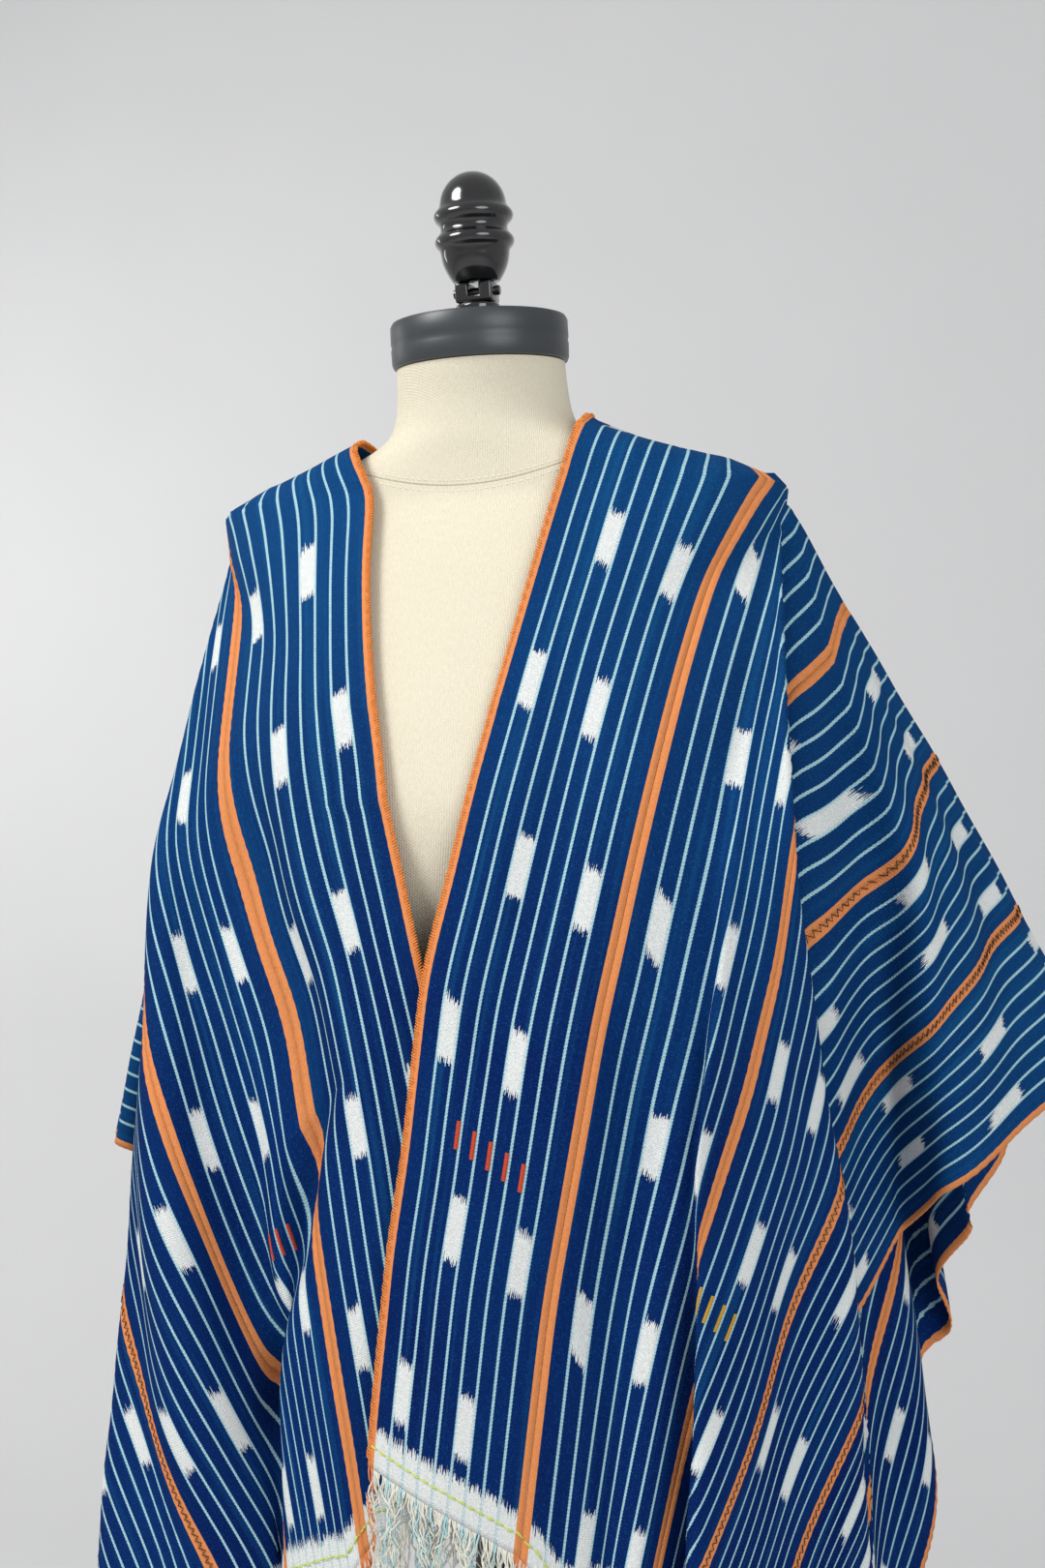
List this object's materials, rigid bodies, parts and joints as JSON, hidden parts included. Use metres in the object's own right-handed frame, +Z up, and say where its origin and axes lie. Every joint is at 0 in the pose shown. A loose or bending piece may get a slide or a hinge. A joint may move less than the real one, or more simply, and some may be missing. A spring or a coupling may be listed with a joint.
{
  "type": "shoulder wrap garment on a dress form",
  "caption": "Open-fronted shoulder wrap of joined handwoven indigo strips with fringed hems, worn in folds over a limbless linen dress form on a round stand.",
  "frame": {"origin": "centre of the stand's base on the floor", "axes": "+Z up, -Y to the front of the form, +X to the viewer's right"},
  "size_m": [0.6698, 0.353, 1.5789],
  "materials": {
    "strip_cloth": "ribbed handwoven cotton, indigo with pale lines, resist-dyed blocks and orange selvedges",
    "fringe_thread": "loose undyed and pale blue cotton warp ends",
    "form_linen": "stretched cream linen",
    "cap_black": "dark satin",
    "finial_black": "black lacquer",
    "stand_metal": "black satin paint"
  },
  "bodies": {
    "root": {"strip_right_1": "strip_cloth", "strip_right_2": "strip_cloth", "strip_right_3": "strip_cloth", "strip_right_4": "strip_cloth", "strip_right_5": "strip_cloth", "strip_left_1": "strip_cloth", "strip_left_2": "strip_cloth", "strip_left_3": "strip_cloth", "strip_left_4": "strip_cloth", "strip_left_5": "strip_cloth", "fringe_front_right": "fringe_thread", "fringe_front_left": "fringe_thread", "fringe_back_right": "fringe_thread", "fringe_back_left": "fringe_thread", "form_torso": "form_linen", "neck_cap": "cap_black", "finial": "finial_black", "finial_yoke": "finial_black", "yoke_foot": "finial_black", "stand_pole": "stand_metal", "stand_base": "stand_metal"}
  },
  "joints": []
}
